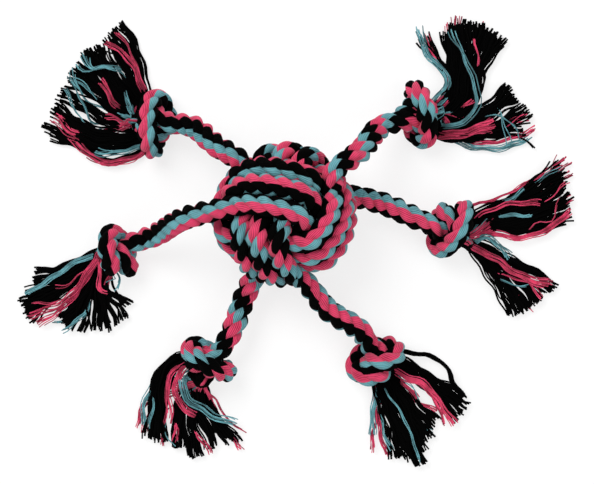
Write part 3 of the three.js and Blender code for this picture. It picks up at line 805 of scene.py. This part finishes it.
# %% Locks of the lower right tassel
LOCKS["leg_4"] = [
    ("black", 1.8, 7, (16, 6), (29, 5), (36, 4), (46, 0), (52, -8), (56, -17), (63, -26)),
    ("black", 4.5, 5, (16, 1), (27, -5), (40, -14), (53, -20), (63, -29)),
    ("black", 4.5, 5, (16, -1), (28, -9), (42, -21), (55, -30), (64, -37)),
    ("black", 4, 5, (16, -4), (30, -14), (44, -27), (59, -43)),
    ("black", 4.5, 4, (12, -12), (25, -27), (35, -39), (44, -47)),
    ("black", 4.5, 5, (11, -13), (22, -30), (28, -43), (37, -58)),
    ("black", 4.5, 5, (9, -14), (20, -36), (28, -53), (33, -66)),
    ("black", 4.5, 6, (6, -15), (16, -40), (25, -60), (32, -75)),
    ("black", 4.5, 6, (4, -16), (12, -40), (19, -58), (25, -68)),
    ("black", 4.5, 5, (2, -16), (8, -37), (13, -55), (16, -70)),
    ("pink", 2.6, 9, (14, -8), (24, -13), (35, -17), (44, -27), (52, -39), (56, -46)),
    ("pink", 1.3, 8, (20, -12), (34, -19), (43, -31), (49, -47)),
    ("teal", 1.6, 6, (0, -16), (-1, -34), (-2, -44), (-1, -54)),
    ("pink", 1.6, 5, (0, -17), (0, -40), (-2, -55), (-3, -66)),
    ("pink", 2, 4, (2, -28), (3, -52), (8, -69)),
    ("teal", 1.2, 8, (2, -25), (5, -48), (11, -64)),
    ("teal", 0.8, 11, (5, -17), (11, -27), (19, -38), (22, -46), (27, -57), (30, -72)),
    ("teal", 0.5, 11, (15, -10), (26, -19), (32, -29)),
    ("pink", 1.5, 8, (16, -14), (22, -19), (29, -28)),
    ("pink", 1.6, 5, (26, -28), (36, -33), (44, -37)),
    ("teal", 1.4, 4, (24, -38), (32, -46), (41, -52)),
]
print("locks of the lower right tassel:", len(LOCKS["leg_4"]))

# %% Locks of the lower left tassel
LOCKS["leg_5"] = [
    ("black", 4.5, 5, (-14, 2), (-28, -4), (-37, -16), (-39, -36), (-42, -58)),
    ("black", 4.5, 6, (-14, 1), (-26, -5), (-33, -18), (-36, -38), (-39, -58)),
    ("black", 4, 5, (-14, -1), (-25, -8), (-31, -20), (-35, -40), (-34, -60)),
    ("black", 4.5, 5, (-11, -11), (-21, -34), (-22, -50), (-22, -64)),
    ("black", 4.5, 5, (-10, -11), (-16, -38), (-14, -55), (-9, -71)),
    ("black", 4.5, 5, (-9, -11), (-8, -40), (-1, -55), (3, -65)),
    ("black", 4, 5, (-8, -11), (-1, -38), (9, -52), (15, -61)),
    ("black", 2.5, 4, (-6, -12), (4, -40), (16, -53), (22, -60)),
    ("black", 4.5, 8, (-9, -9), (-9, -22), (-6, -38), (4, -54)),
    ("teal", 2, 5, (-34, -12), (-44, -25), (-48, -37), (-46, -48)),
    ("teal", 0.9, 8, (-36, -20), (-40, -34), (-43, -50)),
    ("pink", 2, 3, (-44, -30), (-49, -43), (-51, -52)),
    ("pink", 2, 3, (-38, -22), (-42, -36), (-46, -54)),
    ("pink", 1.2, 3, (-32, -30), (-34, -46), (-35, -63)),
    ("pink", 2, 9, (-15, -4), (-25, -9), (-30, -21), (-28, -31), (-29, -47)),
    ("pink", 2.2, 9, (-13, -6), (-21, -11), (-24, -23), (-20, -33), (-9, -41)),
    ("teal", 3, 11, (-14, -10), (-19, -18), (-15, -29), (-4, -36), (6, -42), (20, -45)),
    ("pink", 1.8, 8, (-14, -46), (-7, -56), (1, -68)),
    ("pink", 1.4, 7, (-25, -40), (-23, -50), (-24, -60)),
    ("pink", 1.5, 4, (8, -48), (16, -57), (23, -66)),
    ("pink", 0.7, 5, (14, -46), (21, -50), (27, -55)),
    ("pink", 1.6, 8, (-7, -14), (-4, -20), (-4, -27)),
    ("teal", 0.5, 9, (-30, -38), (-31, -52), (-24, -63)),
]
print("locks of the lower left tassel:", len(LOCKS["leg_5"]))

# %% Locks of the left tassel
LOCKS["leg_6"] = [
    ("black", 3.5, 4, (-17, -2), (-33, -9), (-49, -16), (-62, -16)),
    ("black", 3, 4, (-17, -3), (-34, -11), (-50, -20), (-61, -23)),
    ("black", 4.5, 5, (-17, -5), (-33, -17), (-52, -28), (-67, -33)),
    ("black", 4.5, 5, (-17, -6), (-33, -20), (-52, -32), (-70, -39)),
    ("black", 4, 4, (-17, -7), (-31, -21), (-50, -35), (-68, -46)),
    ("black", 4.5, 5, (-15, -9), (-24, -26), (-33, -39), (-44, -47)),
    ("black", 4.5, 5, (-14, -10), (-22, -28), (-30, -42), (-39, -54)),
    ("black", 2.2, 5, (-13, -11), (-20, -28), (-23, -42), (-28, -58)),
    ("black", 1.8, 5, (-13, -11), (-18, -30), (-18, -44), (-21, -57)),
    ("black", 1.8, 5, (-12, -12), (-16, -31), (-14, -44), (-15, -57)),
    ("black", 1.8, 5, (-12, -12), (-14, -31), (-10, -45), (-8, -58)),
    ("black", 1.7, 5, (-11, -13), (-12, -30), (-6, -42), (-2, -54)),
    ("black", 1.7, 5, (-10, -13), (-10, -29), (-2, -38), (5, -49)),
    ("black", 1.7, 5, (-10, -13), (-8, -28), (1, -34), (9, -38)),
    ("black", 0.6, 4, (-2, -32), (3, -42), (8, -47)),
    ("teal", 2.6, 8, (-16, -3), (-27, -7), (-37, -13), (-52, -24), (-66, -33)),
    ("pink", 0.6, 9, (-15, -4), (-26, -15), (-38, -24), (-49, -25)),
    ("pink", 2.6, 9, (-15, -5), (-22, -15), (-29, -26), (-42, -38), (-65, -47)),
    ("pink", 2, 7, (-15, -6), (-24, -20), (-33, -33), (-44, -43), (-58, -53)),
    ("pink", 0.6, 10, (-29, -26), (-47, -37), (-56, -36), (-63, -38)),
    ("teal", 1.8, 7, (-20, -30), (-24, -43), (-33, -52), (-43, -57)),
    ("teal", 1.3, 4, (-26, -40), (-37, -49), (-48, -51)),
    ("pink", 1.6, 9, (-13, -6), (-14, -17), (-13, -27), (-8, -30)),
    ("teal", 1.6, 8, (-4, -15), (0, -20), (-5, -28)),
    ("pink", 1.4, 7, (-6, -16), (-7, -21), (-9, -26)),
]
print("locks of the left tassel:", len(LOCKS["leg_6"]))

# %% [markdown]
# Yarns
#
# The yarns of a lock keep together and share the crimp that the lay left in them. Each one has its own
# place in the bundle, turns over slowly with it, parts from it near the tip and is cut to its own
# length, and a few stray. Copies of one modelled yarn would be lighter, but their likeness would show,
# so each yarn is drawn by itself. The random draws have seeds, and every run gives the same tassels.

# %% Sizes of the yarns
YARN_DIAMETER = {"black": 1.3 * MM, "pink": 0.8 * MM, "teal": 0.75 * MM}
YARN_THICKNESS = (0.8, 1.15)  # least and most, of that diameter
YARN_LAYERS = {"black": 3.2, "pink": 1.6, "teal": 1.3}  # how many deep a lock is
HALF_LAYER = 0.4  # of a yarn's diameter
SHADED_SHARE = 0.3  # of the yarns, which take the darker copy as painted shade
YARN_POINTS = 24
FIRST_SEED = 40  # of the random draws: each tassel has its own
TASSEL_START = 12 * MM  # how far inside the rope's end a yarn begins
ROPE_END_RADIUS = 6.0 * MM
ROOT_OUT = 0.6  # of that radius, how far from the middle a lock may leave the rope's end
ROOT_LIFT = 6  # mm, the height of a lock that leaves it at the middle
ROOT_LIFT_RANGE = 8  # mm above that, for a lock that leaves it at the top
ROOT_GATHER = 0.7  # of that radius, the half width of a wide lock there
BURIED = 8 * MM  # a lock that is first seen this far from the rope's end runs under others till then
BURIED_HEIGHT = 2 * MM
BURIED_ROOT = -0.9  # of the radius, how low such a lock leaves the rope's end
CRIMP_LENGTH = 19 * MM  # the wave that the lay leaves in the yarn
CRIMP_WIDTH = 0.7 * MM  # to each side
CRIMP_HEIGHT = 0.35 * MM  # up and down
CRIMP_SPREAD = 0.06  # of a wave, between the yarns of a lock
LOCK_TURN = 1.2  # radians that a lock turns over, from its root to its tip
LOCK_TURN_SPREAD = 0.15
TIP_SPLAY = 0.25  # of the half width, that the tips spread further
PLY_WIDTH = 2.4 * MM  # the yarns of one ply keep together at their tips
PLY_HOLD = 0.7  # how far they are drawn to the middle of the ply
RIPPLE_HEIGHT = (0.1 * MM, 0.4 * MM)
RIPPLE_WAVES = (2, 4)
FLICK = 1.0 * MM  # of a tip
CUT_SPREAD = 3 * MM  # in the length of the yarns
WILD_SHARE = 0.07  # of the yarns stray from their lock
WILD_FLICK = 2.5 * MM
WILD_ROAM = 3 * MM
WILD_WAVES = (0.8, 1.6)  # half waves of the roaming
WILD_RISE = 1.5 * MM
# Where along a yarn, as shares of its length, each of these begins and is complete.
OPENS = (0.1, 0.5)
LOOSENS = (0.15, 0.5)
PARTS = (0.5, 1.0)
SPLAYS = (0.7, 1.0)
FLICKS = (0.75, 1.0)
print("yarn diameters in mm:", {dye: round(d / MM, 2) for dye, d in YARN_DIAMETER.items()})

# %% The line of a lock
KNOT_TAIL = 6  # a sixth of a knot's line, at each end, is rope that enters or leaves it


def knot_middle(leg):
    # The middle of what the knot covers on the floor, without the rope that enters and leaves it.
    line = knot_line(leg)
    ring = line[len(line) // KNOT_TAIL:-len(line) // KNOT_TAIL, :2]
    return np.append((ring.min(axis=0) + ring.max(axis=0)) / 2, 0.0)


def lock_line(start, heading, middle, route, lift, buried):
    # Out of the rope's end, then through the lock's own places, in equal steps.
    places = np.array([middle + np.array([x, y, lift]) * MM for x, y in route])
    places = [start, start + heading * TASSEL_START, *places]
    if buried:
        places[2][2] = BURIED_HEIGHT
        places.insert(2, (places[1] + 0.5 * (places[2] - places[1])) * (1, 1, 0) + UP * BURIED_HEIGHT)
    line = smooth_line(places)
    along = lengths_along(line)
    return points_at(np.linspace(0, along[-1], YARN_POINTS), along, line), along[-1]


for leg in LEGS:
    print(leg["name"], "middle of its knot in mm:", (knot_middle(leg)[:2] / MM).round(1))


# %% One yarn
def yarn_line(middle, length, half_width, half_height, crimp, dye, rng):
    # One yarn of a lock, at its own place across and up, crimped with the rest and splayed at its tip.
    share = np.linspace(0, 1, YARN_POINTS)
    ahead = np.gradient(middle, axis=0)
    left = np.cross(UP, ahead)
    left /= np.linalg.norm(left, axis=1)[:, None]
    angle = 2 * math.pi * rng.uniform()
    out = math.sqrt(rng.uniform())
    place = out * math.cos(angle)
    layer = out * math.sin(angle)
    turn = LOCK_TURN * share + rng.normal(0, LOCK_TURN_SPREAD)
    gather = min(half_width, ROOT_GATHER * ROPE_END_RADIUS)
    spread = gather + (half_width - gather) * smoothstep(share, *OPENS)
    spread = spread + TIP_SPLAY * half_width * smoothstep(share, *SPLAYS)
    ply = min(1.0, PLY_WIDTH / half_width)
    place = place + PLY_HOLD * (round(place / ply) * ply - place) * smoothstep(share, *PARTS)
    across = (place * np.cos(turn) - layer * np.sin(turn)) * spread
    height = (layer * np.cos(turn) + place * np.sin(turn)) * half_height
    wave = 2 * np.pi * (length / CRIMP_LENGTH * share + crimp + rng.normal(0, CRIMP_SPREAD))
    ripple = rng.uniform(*RIPPLE_HEIGHT)
    ripple = ripple * np.sin(2 * np.pi * (rng.uniform(*RIPPLE_WAVES) * share + rng.uniform()))
    wild = rng.uniform() < WILD_SHARE
    flick = rng.normal(0, FLICK + WILD_FLICK * wild) * smoothstep(share, *FLICKS)
    roam = wild * rng.normal(0, WILD_ROAM)
    roam = roam * np.sin(np.pi * share * rng.uniform(*WILD_WAVES)) * share
    free = smoothstep(share, *LOOSENS)
    aside = across + free * (CRIMP_WIDTH * np.sin(wave) + ripple) + flick + roam
    points = middle + left * aside[:, None]
    points[:, 2] += height + free * (CRIMP_HEIGHT * np.cos(wave) + ripple + wild * WILD_RISE)
    points[:, 2] = np.maximum(points[:, 2], FLOOR_GAP + YARN_DIAMETER[dye] / 2)
    # Cut to its own length.
    keep = 1 - abs(rng.normal(0, CUT_SPREAD)) / length
    return points_at(share * keep, share, points)


def add_yarn(curve, points, material, thickness):
    spline = curve.splines.new("POLY")
    spline.points.add(YARN_POINTS - 1)
    spline.points.foreach_set("co", np.column_stack([points, np.ones(YARN_POINTS)]).ravel())
    spline.points.foreach_set("radius", np.full(YARN_POINTS, thickness))
    spline.material_index = material
    spline.use_smooth = True


print("points of a yarn:", YARN_POINTS)


# %% One tassel
def tassel_piece(leg, rope):
    rng = np.random.default_rng(FIRST_SEED + LEGS.index(leg))
    end = rope["line"][0 if leg["end"] == "first" else -1]
    heading = knot_heading(leg)
    side = unit(np.cross(UP, heading))
    over = np.cross(heading, side)
    middle = knot_middle(leg)
    name = f"{leg['name']}_tassel_yarns"
    curve = bpy.data.curves.new(name, "CURVE")
    curve.dimensions = "3D"
    curve.bevel_depth = 1.0  # so that a point's radius is in metres
    curve.bevel_resolution = 1
    curve.use_fill_caps = True
    for material in loose_cotton + shaded_cotton:
        curve.materials.append(material)
    for dye, half_width, lift, *route in LOCKS[leg["name"]]:
        aim = math.atan2(route[1][1], route[1][0]) - math.radians(leg["heading"])
        first_seen = middle[:2] + np.array(route[0]) * MM
        buried = np.linalg.norm(first_seen - end[:2]) > BURIED
        rise = np.clip((lift - ROOT_LIFT) / ROOT_LIFT_RANGE, -ROOT_OUT, ROOT_OUT)
        root = side * ROOT_OUT * math.sin(aim) + over * (BURIED_ROOT if buried else rise)
        start = end - heading * TASSEL_START + root * ROPE_END_RADIUS
        line, length = lock_line(start, heading, middle, route, lift, buried)
        count = max(1, round(YARN_LAYERS[dye] * 2 * half_width * MM / YARN_DIAMETER[dye]))
        half_height = HALF_LAYER * min(YARN_LAYERS[dye], count) * YARN_DIAMETER[dye]
        crimp = rng.uniform()
        for _ in range(count):
            points = yarn_line(line, length, half_width * MM, half_height, crimp, dye, rng)
            # Some yarns take the darker copy of their dye: painted shade between the yarns.
            material = DYE_ORDER.index(dye) + len(DYE_AND_SHADE_TONES) * (rng.uniform() < SHADED_SHARE)
            thickness = YARN_DIAMETER[dye] / 2 * rng.uniform(*YARN_THICKNESS)
            add_yarn(curve, points, material, thickness)
    drawn = link(bpy.data.objects.new(name + "_drawn", curve))
    bpy.context.view_layer.update()
    depsgraph = bpy.context.evaluated_depsgraph_get()
    mesh = bpy.data.meshes.new_from_object(drawn.evaluated_get(depsgraph))
    mesh.name = name
    bpy.data.objects.remove(drawn)
    bpy.data.curves.remove(curve)
    return link(bpy.data.objects.new(name, mesh))


print("materials of a tassel:", [material.name for material in loose_cotton + shaded_cotton])

# %% Fill the tassels
tassel_pieces = {}
for rope in ropes:
    for leg in rope["legs"].values():
        tassel_pieces[leg["name"]] = tassel_piece(leg, rope)
for name, piece in tassel_pieces.items():
    print(piece.name, len(piece.data.polygons), "faces")

# %% [markdown]
# The core
#
# A monkey's fist is tied round a ball, here of rubber. The ropes hide it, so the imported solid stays
# as it is and only gets the finish of moulded rubber: dull, nearly black and finely grained.

# %% Core finish
GRAIN_SIZE = 1.5 * MM
GRAIN_DETAIL = 3.0
GRAIN_STRENGTH = 0.2
GRAIN_DEPTH = 0.1 * MM
RUBBER_COLOURS = ("#1B1A1C", "#2E2D30")
RUBBER_ROUGHNESS = 0.8

rubber, tree, shader = new_material("moulded_black_rubber")
place = add_node(tree, "ShaderNodeTexCoord").outputs["Object"]
inputs = {"Vector": place, "Scale": 1 / GRAIN_SIZE, "Detail": GRAIN_DETAIL}
grain = add_node(tree, "ShaderNodeTexNoise", inputs=inputs).outputs["Fac"]
ramp = add_node(tree, "ShaderNodeValToRGB", inputs={"Fac": grain})
for element, tone in zip(ramp.color_ramp.elements, RUBBER_COLOURS):
    element.color = linear(tone)
inputs = {"Height": grain, "Strength": GRAIN_STRENGTH, "Distance": GRAIN_DEPTH}
relief = add_node(tree, "ShaderNodeBump", inputs=inputs)
inputs = {
    "Base Color": ramp.outputs["Color"],
    "Normal": relief.outputs["Normal"],
    "Roughness": RUBBER_ROUGHNESS,
}
set_inputs(tree, shader, inputs)
core = bpy.data.objects["core_ball"]
for slot in core.material_slots:
    slot.material = rubber
print("core finish on", core.name, len(core.material_slots), "slot")

# %% [markdown]
# What moves with what
#
# The windings stay with the ball. A leg's rope bends where it leaves the ball, and its tassel where
# it leaves the knot. Here these pieces keep their places, and the solids that they stand for are
# hidden. The legs are free ropes, from the ball to the knot's far side.

# %% The windings ride on the ball
for index, piece in enumerate(winding_pieces):
    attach(piece, "ball")
    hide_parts(f"rope_{'abc'[index]}_winding")
print("on the ball:", [piece.name for piece in winding_pieces])

# %% Legs and tassels keep their places
for rope in ropes:
    for end, leg in rope["legs"].items():
        name = leg["name"]
        first, last = leg_spans[name]
        route = rope["line"][first:last + 1]
        if end == "first":
            route = route[::-1]
        piece = leg_pieces[name]
        tassel = tassel_pieces[name]
        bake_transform(piece)
        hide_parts(f"{name}_rope", f"{name}_knot")
        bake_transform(tassel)
        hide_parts(*[f"{name}_tassel_strand_{k}" for k in (1, 2, 3)])

# %% [markdown]
# Floor and light
#
# The picture has an even white ground with hardly a shadow. A pale floor under two large soft lamps
# and a dim sky comes near it. More lamp light would wash out the cotton, so the white is added only
# for the rays that look: straight from the camera, mirrored, or through glass. The light that falls
# on the toy stays plain, and the floor still shows where the toy rests.

# %% Floor
FLOOR_SIZE = 3.0
FLOOR_CELLS = 8
SPECK_SIZE = MM / 0.9  # real paper's grain is too fine to show, so it is drawn this coarse
SPECK_DETAIL = 2.0
PAPER_COLOURS = ("#F8F8F8", "#FCFCFC")
PAPER_ROUGHNESS = 0.9
WHITE_SHARE = 0.72  # of the floor that is plain white to a looking ray


def looking_ray(tree):
    path = add_node(tree, "ShaderNodeLightPath")
    total = path.outputs["Is Camera Ray"]
    for kind in ("Is Glossy Ray", "Is Transmission Ray"):
        inputs = {0: total, 1: path.outputs[kind]}
        total = add_node(tree, "ShaderNodeMath", {"operation": "MAXIMUM"}, inputs).outputs["Value"]
    return total


bm = bmesh.new()
bmesh.ops.create_grid(bm, x_segments=FLOOR_CELLS, y_segments=FLOOR_CELLS, size=FLOOR_SIZE / 2)
floor_mesh = bpy.data.meshes.new("floor")
bm.to_mesh(floor_mesh)
bm.free()
# Matt paper: white without gloss, with a grain that hardly shows.
paper, tree, shader = new_material("matt_white_paper")
place = add_node(tree, "ShaderNodeTexCoord").outputs["Object"]
inputs = {"Vector": place, "Scale": 1 / SPECK_SIZE, "Detail": SPECK_DETAIL}
speck = add_node(tree, "ShaderNodeTexNoise", inputs=inputs)
ramp = add_node(tree, "ShaderNodeValToRGB", inputs={"Fac": speck.outputs["Fac"]})
for element, tone in zip(ramp.color_ramp.elements, PAPER_COLOURS):
    element.color = linear(tone)
inputs = {"Base Color": ramp.outputs["Color"], "Roughness": PAPER_ROUGHNESS}
set_inputs(tree, shader, inputs)
# To a looking ray the paper is part white light, so that the toy's shadow on it stays faint.
inputs = {0: looking_ray(tree), 1: WHITE_SHARE}
white = add_node(tree, "ShaderNodeMath", {"operation": "MULTIPLY"}, inputs)
glow = add_node(tree, "ShaderNodeEmission", inputs={"Strength": 1.0})
inputs = {0: white.outputs["Value"], 1: shader.outputs["BSDF"], 2: glow.outputs["Emission"]}
mixed = add_node(tree, "ShaderNodeMixShader", inputs=inputs)
tree.links.new(mixed.outputs["Shader"], tree.nodes["Material Output"].inputs["Surface"])
floor_mesh.materials.append(paper)
floor = link(bpy.data.objects.new("floor", floor_mesh))
print("floor:", FLOOR_SIZE, "m square, of", paper.name)

# %% Lamps
LAMPS = [
    {"name": "key_lamp", "at": (-0.7, 0.8, 1.5), "size": 1.0, "power": 22},
    {"name": "fill_lamp", "at": (0.9, -0.6, 1.4), "size": 1.5, "power": 8},
]
for lamp in LAMPS:
    light = bpy.data.lights.new(lamp["name"], "AREA")
    light.size = lamp["size"]
    light.energy = lamp["power"]
    lamp_object = link(bpy.data.objects.new(lamp["name"], light))
    lamp_object.location = lamp["at"]
    direction = -lamp_object.location
    lamp_object.rotation_euler = direction.to_track_quat("-Z", "Y").to_euler()
print("lamps:", [lamp["name"] for lamp in LAMPS])

# %% Sky
SKY_LIGHT = 0.62  # strength of the sky as a lamp
world = bpy.data.worlds.new("studio")
bpy.context.scene.world = world
world.use_nodes = True
tree = world.node_tree
sky = tree.nodes["Background"]
sky.inputs["Color"].default_value = (1.0, 1.0, 1.0, 1.0)
inputs = {0: looking_ray(tree), 1: 1 - SKY_LIGHT, 2: SKY_LIGHT}
strength = add_node(tree, "ShaderNodeMath", {"operation": "MULTIPLY_ADD"}, inputs)
tree.links.new(strength.outputs["Value"], sky.inputs["Strength"])
print("sky:", world.name, "at", SKY_LIGHT, "of white")
